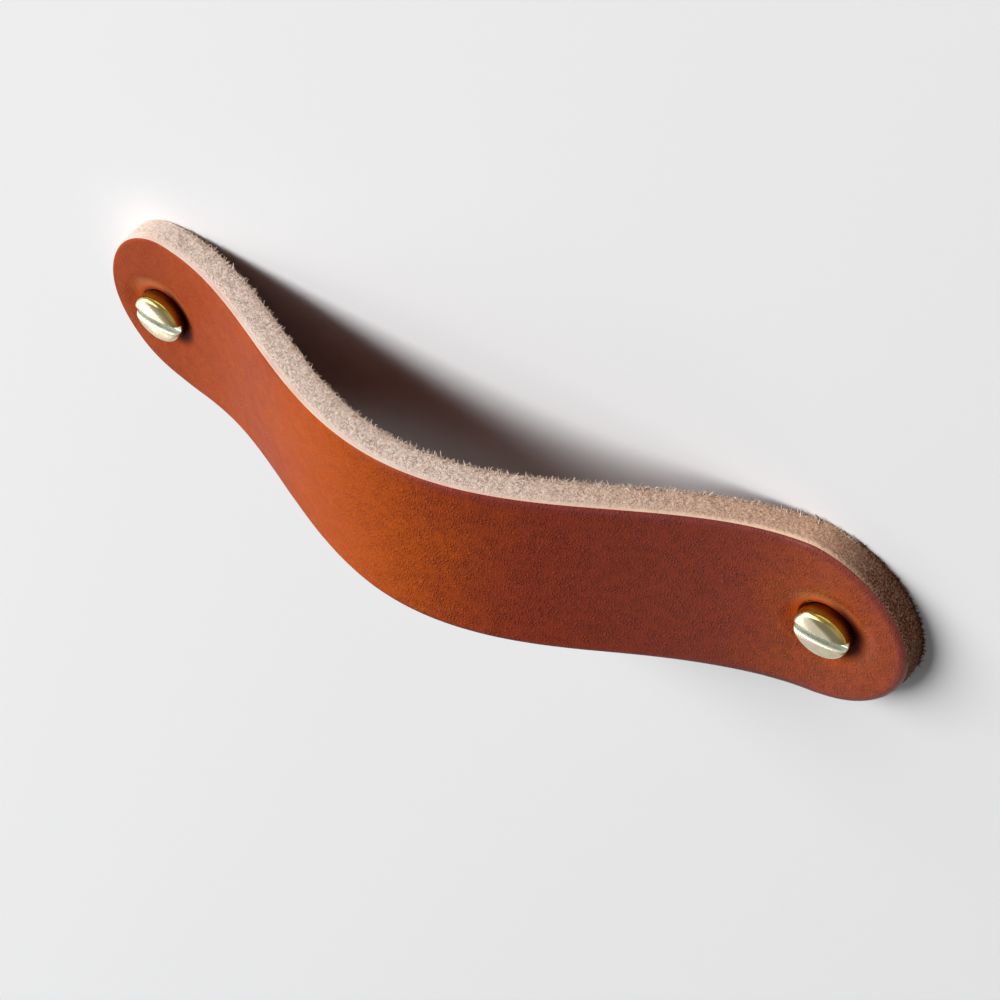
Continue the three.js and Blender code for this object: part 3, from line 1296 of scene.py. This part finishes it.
@dataclass
class Screw:
    """A slotted cheese-head machine screw, made upright and then laid along its hole."""

    side: Side
    axis_x: float
    underside_y: float
    tip_y: float
    slot_turn: float
    head_radius: float = 3.5 * MM
    head_height: float = 2.6 * MM
    crown_tilt: float = 0.21
    shoulder: float = 0.75 * MM
    slot_width: float = 1.0 * MM
    slot_depth: float = 1.25 * MM
    slot_lip: float = 0.5 * MM
    sunk: float = 0.3 * MM
    radius: float = 2.0 * MM
    pitch: float = 0.7 * MM
    thread_depth: float = 0.4 * MM
    tip_chamfer: float = 0.6 * MM
    sides: int = 64
    rows_per_turn: int = 8
    head_columns: int = 45
    sharp_degrees: float = 38.0

    def _top(self, radius: np.ndarray) -> np.ndarray:
        """Gives the height of the head's domed top.

        Args:
            radius: Distances from its axis.

        Returns:
            The height above its underside at each of them.
        """
        steepest = math.radians(86)
        crown = self.head_radius - self.shoulder * (math.sin(steepest) - math.sin(self.crown_tilt))
        low = self.head_height - self.crown_tilt * crown / 2
        turn = np.clip((radius - crown) / self.shoulder + math.sin(self.crown_tilt), 0, math.sin(steepest))
        rounded = low - self.shoulder * (math.cos(self.crown_tilt) - np.sqrt(1 - turn**2))
        domed = self.head_height - self.crown_tilt * radius**2 / (2 * crown)
        return np.where(radius < crown, domed, rounded)

    def _stations(self) -> list[tuple[float, float, float]]:
        """Gives lines along the head, from its rim to the middle of its slot.

        Returns:
            How far each is from the axis, how far its lip drops, and the height it stops at.
        """
        half, lip, fillet = self.slot_width / 2, self.slot_lip, 0.1 * MM
        high, floor = 2 * self.head_height, self.head_height - self.slot_depth
        turns = np.linspace(0, math.acos((half + lip) / self.head_radius), 21)
        lines = [(self.head_radius * math.cos(a), 0.0, high) for a in turns]
        for a in (0.25, 0.5, 0.75, 1.0, 1.25, 1.45):
            lines.append((half + lip * (1 - math.sin(a)), lip * (1 - math.cos(a)), high))
        lines += [(half, lip, h) for h in np.linspace(self.head_height - lip, floor + fillet, 6)]
        for a in (0.5, 1.0, 1.57):
            lines.append((half - fillet * (1 - math.cos(a)), lip, floor + fillet * (1 - math.sin(a))))
        return lines + [(half * share, lip, floor) for share in (0.6, 0.3, 0.0)]

    def _head(self) -> bpy.types.Object:
        """Makes the slotted head, standing on its underside at height 0.

        Returns:
            The head.
        """
        lines = np.array(self._stations())
        across = np.concatenate([lines[:, 0], -lines[-2::-1, 0]])
        drop, stop = (np.concatenate([lines[:, i], lines[-2::-1, i]])[:, None] for i in (1, 2))
        reach = np.sqrt(np.clip(self.head_radius**2 - across**2, 0, None))
        along = np.outer(reach, np.sin(np.linspace(-math.pi / 2, math.pi / 2, self.head_columns)))
        wide = np.broadcast_to(across[:, None], along.shape)
        height = np.minimum(self._top(np.hypot(along, wide)) - drop, stop)
        top = np.stack([along, wide, height], axis=-1)
        rim = np.concatenate([top[:, -1], top[-2:0:-1, 0]])
        foot = 0.12 * MM
        rings = [rim]
        for share in (0.04, 0.5, 1.0):
            rings.append(rim * (1, 1, 1 - share) + (0, 0, foot * share))
        under = arc((self.head_radius - foot, foot), foot, -30, -90, 2)
        for radius, level in [*under, (self.radius / 2, 0.0), (0.0, 0.0)]:
            share = radius / self.head_radius
            rings.append(rim * (share, share, 0) + (0, 0, level))
        points = np.concatenate([top.reshape(-1, 3), np.array(rings).reshape(-1, 3)])
        faces = loft_faces(len(across), along.shape[1], False, False)
        skirt = loft_faces(len(rings), len(rim), False, True)
        faces += [tuple(corner + top.size // 3 for corner in face) for face in skirt]
        made = mesh_object(f"{self.side.word}_screw_turned", points, faces)
        tidy(made, 0.001 * MM)
        return made

    def _thread_tree(self) -> bpy.types.NodeTree:
        """Makes the tree that winds a thread round a tube along Z.

        Returns:
            The tree.
        """
        names = ("Length", "Radius", "Pitch", "Thread Depth", "Tip Chamfer")
        inputs = {name: "NodeSocketFloat" for name in names}
        inputs |= {"Sides": "NodeSocketInt", "Rows": "NodeSocketInt", "Material": "NodeSocketMaterial"}
        tree, graph, given = new_geometry_tree("wound_thread", inputs)
        values = {
            "Vertices": given["Sides"],
            "Side Segments": given["Rows"],
            "Radius": given["Radius"],
            "Depth": given["Length"],
        }
        tube = graph.signal("GeometryNodeMeshCylinder", {"fill_type": "NONE"}, values)
        spot = graph.signal("GeometryNodeInputPosition")
        x, y, z = parts_of(graph, spot)
        angle = graph.signal("ShaderNodeMath", {"operation": "ARCTAN2"}, {0: y, 1: x})
        along = given["Length"] / 2 - z
        phase = (z / given["Pitch"] - angle / FULL_TURN).apply("FRACT")
        ridge = 1 - (phase * 2 - 1).apply("ABSOLUTE")
        crest = ((ridge - 0.125) / 0.75).most(0.0).least(1.0)
        started = (along / given["Pitch"] - 1.3).most(0.0).least(1.0)
        radius = given["Radius"] - given["Thread Depth"] * (1 - crest) * started
        to_tip = given["Length"] - along
        radius = radius.least(given["Radius"] - given["Tip Chamfer"] + to_tip)
        flat = graph.signal("ShaderNodeCombineXYZ", None, {0: x, 1: y, 2: 0.0})
        outwards = graph.signal("ShaderNodeVectorMath", {"operation": "NORMALIZE"}, {0: flat})
        lift = graph.signal("ShaderNodeCombineXYZ", None, {2: 0 - along})
        values = {"Geometry": tube, "Position": outwards * radius + lift}
        wound = graph.signal("GeometryNodeSetPosition", None, values)
        finish_tree(graph, wound, given["Material"])
        return tree

    def _shank(self, material: bpy.types.Material) -> bpy.types.Object:
        """Makes the threaded shank, downwards from 0.

        Args:
            material: The brass.

        Returns:
            The shank.
        """
        host = mesh_object("shank", np.zeros((0, 3)), [])
        length = self.tip_y - self.underside_y + self.sunk
        values = {
            "Length": length,
            "Radius": self.radius,
            "Pitch": self.pitch,
            "Thread Depth": self.thread_depth,
            "Tip Chamfer": self.tip_chamfer,
            "Sides": self.sides,
            "Rows": int(length / self.pitch * self.rows_per_turn),
            "Material": material,
        }
        run_tree(host, self._thread_tree(), values)
        return host

    def _in_slot(self, place: Vector) -> bool:
        """Tells whether a place on the upright screw is on the slot's walls or floor.

        Args:
            place: The place.

        Returns:
            True if it is.
        """
        floor = self.head_height - self.slot_depth
        reach = self.slot_width / 2 + 0.4 * self.slot_lip
        return abs(place.y) < reach and place.z > floor - 0.01 * MM

    def build(self, material: bpy.types.Material, sawn: bpy.types.Material) -> bpy.types.Object:
        """Makes the screw in its place.

        Args:
            material: The brass.
            sawn: The brass inside the slot.

        Returns:
            The screw.
        """
        made = self._head()
        shank = self._shank(material)
        shank.data.transform(Matrix.Translation((0, 0, self.sunk)))
        work = bmesh.new()
        work.from_mesh(shank.data)
        bmesh.ops.holes_fill(work, edges=[edge for edge in work.edges if edge.is_boundary], sides=0)
        bmesh.ops.recalc_face_normals(work, faces=work.faces)
        work.from_mesh(made.data)
        work.to_mesh(made.data)
        work.free()
        bpy.data.objects.remove(shank)
        made.data.materials.clear()
        made.data.materials.append(material)
        made.data.materials.append(sawn)
        slotted = [int(self._in_slot(face.center)) for face in made.data.polygons]
        made.data.polygons.foreach_set("material_index", slotted)
        made.data.transform(Matrix.Rotation(math.radians(-self.slot_turn), 4, "Z"))
        made.data.transform(Matrix.Rotation(math.pi / 2, 4, "X"))
        made.data.transform(Matrix.Translation((self.axis_x, self.underside_y, 0)))
        made.data.shade_smooth()
        made.data.set_sharp_from_angle(angle=math.radians(self.sharp_degrees))
        return made


@dataclass
class Washer:
    """A stamped flat washer, rounded on the side that the punch entered."""

    side: Side
    axis_x: float
    face_y: float
    thickness: float
    radius: float = 4.5 * MM
    bore: float = 2.15 * MM
    rolled: float = 0.2 * MM
    burr: float = 0.06 * MM

    def build(self, material: bpy.types.Material) -> bpy.types.Object:
        """Makes the washer in its place.

        Args:
            material: The brass.

        Returns:
            The washer.
        """
        t, r, b = self.thickness, self.rolled, self.burr
        profile = [(self.bore + b, 0.0), (self.radius - b, 0.0), (self.radius, b)]
        profile += arc((self.radius - r, t - r), r, 0, 90, 4)
        profile += arc((self.bore + r, t - r), r, 90, 180, 4)
        profile += [(self.bore, b), (self.bore + b, 0.0)]
        made = turned(f"{self.side.word}_washer_stamped", profile, 80)
        made.data.transform(Matrix.Rotation(-math.pi / 2, 4, "X"))
        made.data.transform(Matrix.Translation((self.axis_x, self.face_y, 0)))
        tidy(made, 0.001 * MM, 40)
        made.data.materials.append(material)
        return made


@dataclass
class Nut:
    """A hexagon nut, chamfered on both faces and tapped."""

    side: Side
    axis_x: float
    face_y: float
    height: float
    turn: float
    across_flats: float = 7.0 * MM
    face_inset: float = 0.1 * MM
    chamfer_degrees: float = 30.0
    bore: float = 2.05 * MM
    thread_depth: float = 0.22 * MM
    mouth: float = 0.35 * MM
    pitch: float = 0.7 * MM
    steps_per_flat: int = 12

    def build(self, material: bpy.types.Material) -> bpy.types.Object:
        """Makes the nut in its place.

        Args:
            material: The brass.

        Returns:
            The nut.
        """
        sides = 6 * self.steps_per_flat
        angle = np.arange(sides) * FULL_TURN / sides
        from_flat = np.mod(angle, math.pi / 3) - math.pi / 6
        outline = self.across_flats / 2 / np.cos(from_flat)
        face = self.across_flats / 2 - self.face_inset
        drop = (outline - face) * math.tan(math.radians(self.chamfer_degrees))
        level = np.ones(sides)
        rings: list[tuple[np.ndarray, np.ndarray]] = []
        for share in np.linspace(0, 1, 30):
            height = self.height * share
            ridge = 1 - np.abs(2 * np.mod(height / self.pitch - angle / FULL_TURN, 1.0) - 1)
            radius = self.bore + self.thread_depth * (1 - ridge)
            opened = self.bore + self.mouth - min(height, self.height - height)
            rings.append((np.maximum(radius, opened), height * level))
        for share in (0.5, 1.0):
            radius = self.bore + self.mouth + (face - self.bore - self.mouth) * share
            rings.append((radius * level, self.height * level))
        rings.append((outline, self.height - drop))
        rings.append((outline, drop))
        rings.append((face * level, 0 * level))
        rings.append(((face + self.bore + self.mouth) / 2 * level, 0 * level))
        points = np.array([[r * np.cos(angle), r * np.sin(angle), h] for r, h in rings])
        points = points.transpose(0, 2, 1).reshape(-1, 3)
        made = mesh_object(f"{self.side.word}_nut_tapped", points, loft_faces(len(rings), sides, True, True))
        made.data.transform(Matrix.Rotation(math.radians(self.turn), 4, "Z"))
        made.data.transform(Matrix.Rotation(-math.pi / 2, 4, "X"))
        made.data.transform(Matrix.Translation((self.axis_x, self.face_y, 0)))
        tidy(made, 0.001 * MM, 32)
        made.data.materials.append(material)
        return made


@dataclass
class Fastening:
    """One screw with the washer and nut at its far end."""

    side: Side
    slot_turn: float
    nut_turn: float

    def build(
        self, polished: bpy.types.Material, sawn: bpy.types.Material, plain: bpy.types.Material
    ) -> None:
        """Makes the three pieces where their solids are.

        Args:
            polished: The screw's brass.
            sawn: The brass inside its slot.
            plain: The washer's and the nut's brass.
        """
        word = self.side.word
        low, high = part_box(f"{word}_screw")
        axis_x = (low.x + high.x) / 2
        screw = Screw(self.side, axis_x, low.y + Screw.head_height, high.y, self.slot_turn)
        place_piece(screw.build(polished, sawn), "polished_brass", f"{word}_screw")
        low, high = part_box(f"{word}_washer")
        washer = Washer(self.side, axis_x, low.y, high.y - low.y)
        place_piece(washer.build(plain), "plain_brass", f"{word}_washer")
        low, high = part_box(f"{word}_nut")
        nut = Nut(self.side, axis_x, low.y, high.y - low.y, self.nut_turn)
        place_piece(nut.build(plain), "plain_brass", f"{word}_nut")


@dataclass(frozen=True)
class Lamp:
    """A soft oblong lamp that shines at the middle of the part."""

    name: str
    way: tuple[float, float, float]
    distance: float
    size: tuple[float, float]
    power: float
    colour: Colour

    def build(self) -> None:
        """Makes the lamp, with its long side level."""
        data = bpy.data.lights.new(self.name, "AREA")
        data.shape = "RECTANGLE"
        data.size, data.size_y = self.size
        data.energy = self.power
        data.color = self.colour
        made = bpy.data.objects.new(self.name, data)
        bpy.context.scene.collection.objects.link(made)
        place = Vector(self.way).normalized() * self.distance
        turn = (-place).to_track_quat("-Z", "Y").to_matrix().to_4x4()
        made.matrix_world = Matrix.Translation(place) @ turn


@dataclass
class Studio:
    """The camera, the lamps and the pale backdrop on the mounting face."""

    eye: Vector = field(default_factory=lambda: Vector((153.4, -176.95, 258.1)) * MM)
    aim: Vector = field(default_factory=lambda: Vector((-0.34, 0.0, -11.2)) * MM)
    roll_degrees: float = 7.59
    lens: float = 105.78
    sensor: float = 36.0
    backdrop_size: float = 2.4
    lamps: tuple[Lamp, ...] = (
        Lamp("key", (-0.67, -0.64, 0.36), 2.4, (2.5, 0.96), 83.0, (1.0, 1.0, 1.0)),
        Lamp("left", (-0.80, -0.47, -0.30), 1.0, (0.8, 0.6), 1.3, (1.0, 1.0, 0.98)),
        Lamp("fill", (0.6, -0.75, 0.15), 1.6, (1.8, 1.4), 4.2, (1.0, 1.0, 1.0)),
        Lamp("top", (0.0, -0.03, 1.0), 0.7, (0.7, 0.1), 0.8, (1.0, 0.99, 0.97)),
        Lamp("low", (-0.56, -0.50, -0.66), 1.0, (0.34, 0.34), 0.55, (0.97, 1.0, 0.98)),
        Lamp("rear", (0.5, 0.7, 0.6), 0.7, (0.4, 0.4), 3.5, (1.0, 1.0, 1.0)),
    )
    sky: float = 0.01
    seen_sky: float = 0.95
    mirrored_sky: float = 0.6

    def _camera(self) -> None:
        """Makes the camera at the photograph's angle."""
        data = bpy.data.cameras.new("camera")
        data.lens = self.lens
        data.sensor_width = self.sensor
        data.clip_start = 0.01
        data.clip_end = 20.0
        made = bpy.data.objects.new("camera", data)
        bpy.context.scene.collection.objects.link(made)
        turn = (self.aim - self.eye).to_track_quat("-Z", "Y").to_matrix().to_4x4()
        roll = Matrix.Rotation(math.radians(-self.roll_degrees), 4, "Z")
        made.matrix_world = Matrix.Translation(self.eye) @ turn @ roll
        bpy.context.scene.camera = made

    def _backdrop(self) -> None:
        """Makes the backdrop, a thin step behind the strap's flat ends, facing out."""
        half = self.backdrop_size / 2
        level = 0.02 * MM
        turns = ((-1, -1), (1, -1), (1, 1), (-1, 1))
        corners = np.array([[x * half, level, z * half] for x, z in turns])
        made = mesh_object("backdrop", corners, [(0, 1, 2, 3)])
        made.data.materials.append(PaleBackdrop().build())

    def _world(self) -> None:
        """Makes the even sky, white to the eye and in reflections."""
        world = bpy.data.worlds.new("sky")
        bpy.context.scene.world = world
        world.use_nodes = True
        world.node_tree.nodes.clear()
        graph = Graph(world.node_tree)
        path = graph.add("ShaderNodeLightPath")
        kinds = ("Camera", "Transmission", "Glossy")
        seen, through, mirrored = (Signal(graph, path.outputs[f"Is {kind} Ray"]) for kind in kinds)
        shown = seen.most(through) * (self.seen_sky - self.sky)
        strength = self.sky + (mirrored * (self.mirrored_sky - self.sky)).most(shown)
        sky = graph.signal("ShaderNodeBackground", None, {"Color": (0.96, 0.98, 1.0), "Strength": strength})
        graph.add("ShaderNodeOutputWorld", None, {"Surface": sky})

    def build(self) -> None:
        """Sets the scene up."""
        self._camera()
        self._backdrop()
        for lamp in self.lamps:
            lamp.build()
        self._world()
        bpy.context.scene.view_settings.view_transform = "Standard"


def grow_fibres(hide: bpy.types.Object, strap: Strap) -> None:
    """Grows the loose strands on the cut edge, along the flesh border and on the flesh side, with the strands
    at the right end dark for painted shade.

    Args:
        hide: The finished strap.
        strap: Its sizes.
    """
    mesh = hide.data
    zone = np.empty(len(mesh.polygons), np.int32)
    mesh.polygons.foreach_get("material_index", zone)
    middle = np.empty(len(mesh.polygons) * 3)
    mesh.polygons.foreach_get("center", middle)
    flat = strap.bow.unbend(middle.reshape(-1, 3))
    screws = np.where(flat[:, 0] < 0, -1, 1) * strap.bow.spacing / 2
    along = middle.reshape(-1, 3)[:, 0]
    clear = np.hypot(along - screws, flat[:, 1]) > strap.seat_radius + 0.4 * MM
    cut_edge = (zone == Zone.CUT.value) & clear
    border = cut_edge & (flat[:, 2] < 0.16 * strap.thickness)
    rough = cut_edge & (flat[:, 2] < 0.66 * strap.thickness) & (np.abs(along + 2 * MM) < 44 * MM)
    back = (zone == Zone.FLESH.value) & clear & (strap.bow.lift(along) > 0.5 * MM)
    clean, painted_shade = along > -45 * MM, along > 50 * MM
    pale = FibreFinish("pale_strands")
    # Painted shade: the border strands past 50 mm along are dark brown.
    end_fibre_shade = FibreFinish("shaded_end_strands", (0.16, 0.06, 0.02), (0.05, 0.018, 0.006))
    fawn = FibreFinish("fawn_strands", (0.36, 0.16, 0.08), (0.2, 0.07, 0.03))
    bright = border & clean & ~painted_shade
    # After the finish come the strands per square millimetre, the shortest and the longest strand,
    # how far they lean, how thick they are for their length, and the seed.
    crops = [
        (bright, LooseFibres("border_fuzz", pale, 20.0, 0.2 * MM, 0.65 * MM, 0.9, 0.12, 11)),
        (bright, LooseFibres("border_tufts", pale, 2.0, 0.5 * MM, 0.9 * MM, 0.8, 0.16, 14)),
        (border & painted_shade, LooseFibres("end_fuzz", end_fibre_shade, 16.0, 0.2 * MM, 0.7 * MM, 0.9, 0.12, 15)),
        (rough, LooseFibres("edge_strands", pale, 4.0, 0.2 * MM, 0.4 * MM, 1.2, 0.16, 12)),
        (back, LooseFibres("flesh_nap", fawn, 1.6, 0.3 * MM, 0.8 * MM, 1.25, 0.045, 13)),
    ]
    for faces, fibres in crops:
        place_piece(fibres.build(faces_where(hide, faces)), "tan_leather")


def main() -> None:
    """Builds the strap, its fibres, the fastenings and the studio."""
    logging.basicConfig(level=logging.INFO, format="%(name)s: %(message)s")
    left, right = (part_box(f"{side.word}_screw") for side in Side)
    left_x, right_x = ((low.x + high.x) / 2 for low, high in (left, right))
    low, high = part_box("leather_strap")
    strap = Strap(
        Bow(right_x - left_x, -0.8 * MM, -low.y - Strap.thickness),
        low.x,
        high.x,
        high.z - low.z,
    )
    hide = strap.build()
    place_piece(hide, "tan_leather", "leather_strap")
    grow_fibres(hide, strap)
    axes = (left_x, right_x)
    # Painted shade: the brass in the slot is rougher, as sawn, and a darker grey for the shade inside the
    # slot.
    grey = (0.60, 0.61, 0.52)
    slot_shade_colours = {"metal": grey, "wall": grey, "foot": grey, "shoulder_shade": grey}
    polished = BrassFinish("polished_brass", axes).build()
    plain = BrassFinish("plain_brass", axes, (0.80, 0.62, 0.33), (0.45, 0.28, 0.10), 0.3).build()
    sawn = BrassFinish("sawn_brass", axes, tarnish=(0.44, 0.42, 0.33), roughness=0.34, **slot_shade_colours).build()
    Fastening(Side.LEFT, slot_turn=5.0, nut_turn=12.0).build(polished, sawn, plain)
    Fastening(Side.RIGHT, slot_turn=1.0, nut_turn=-20.0).build(polished, sawn, plain)
    Studio().build()


if __name__ == "__main__":
    main()
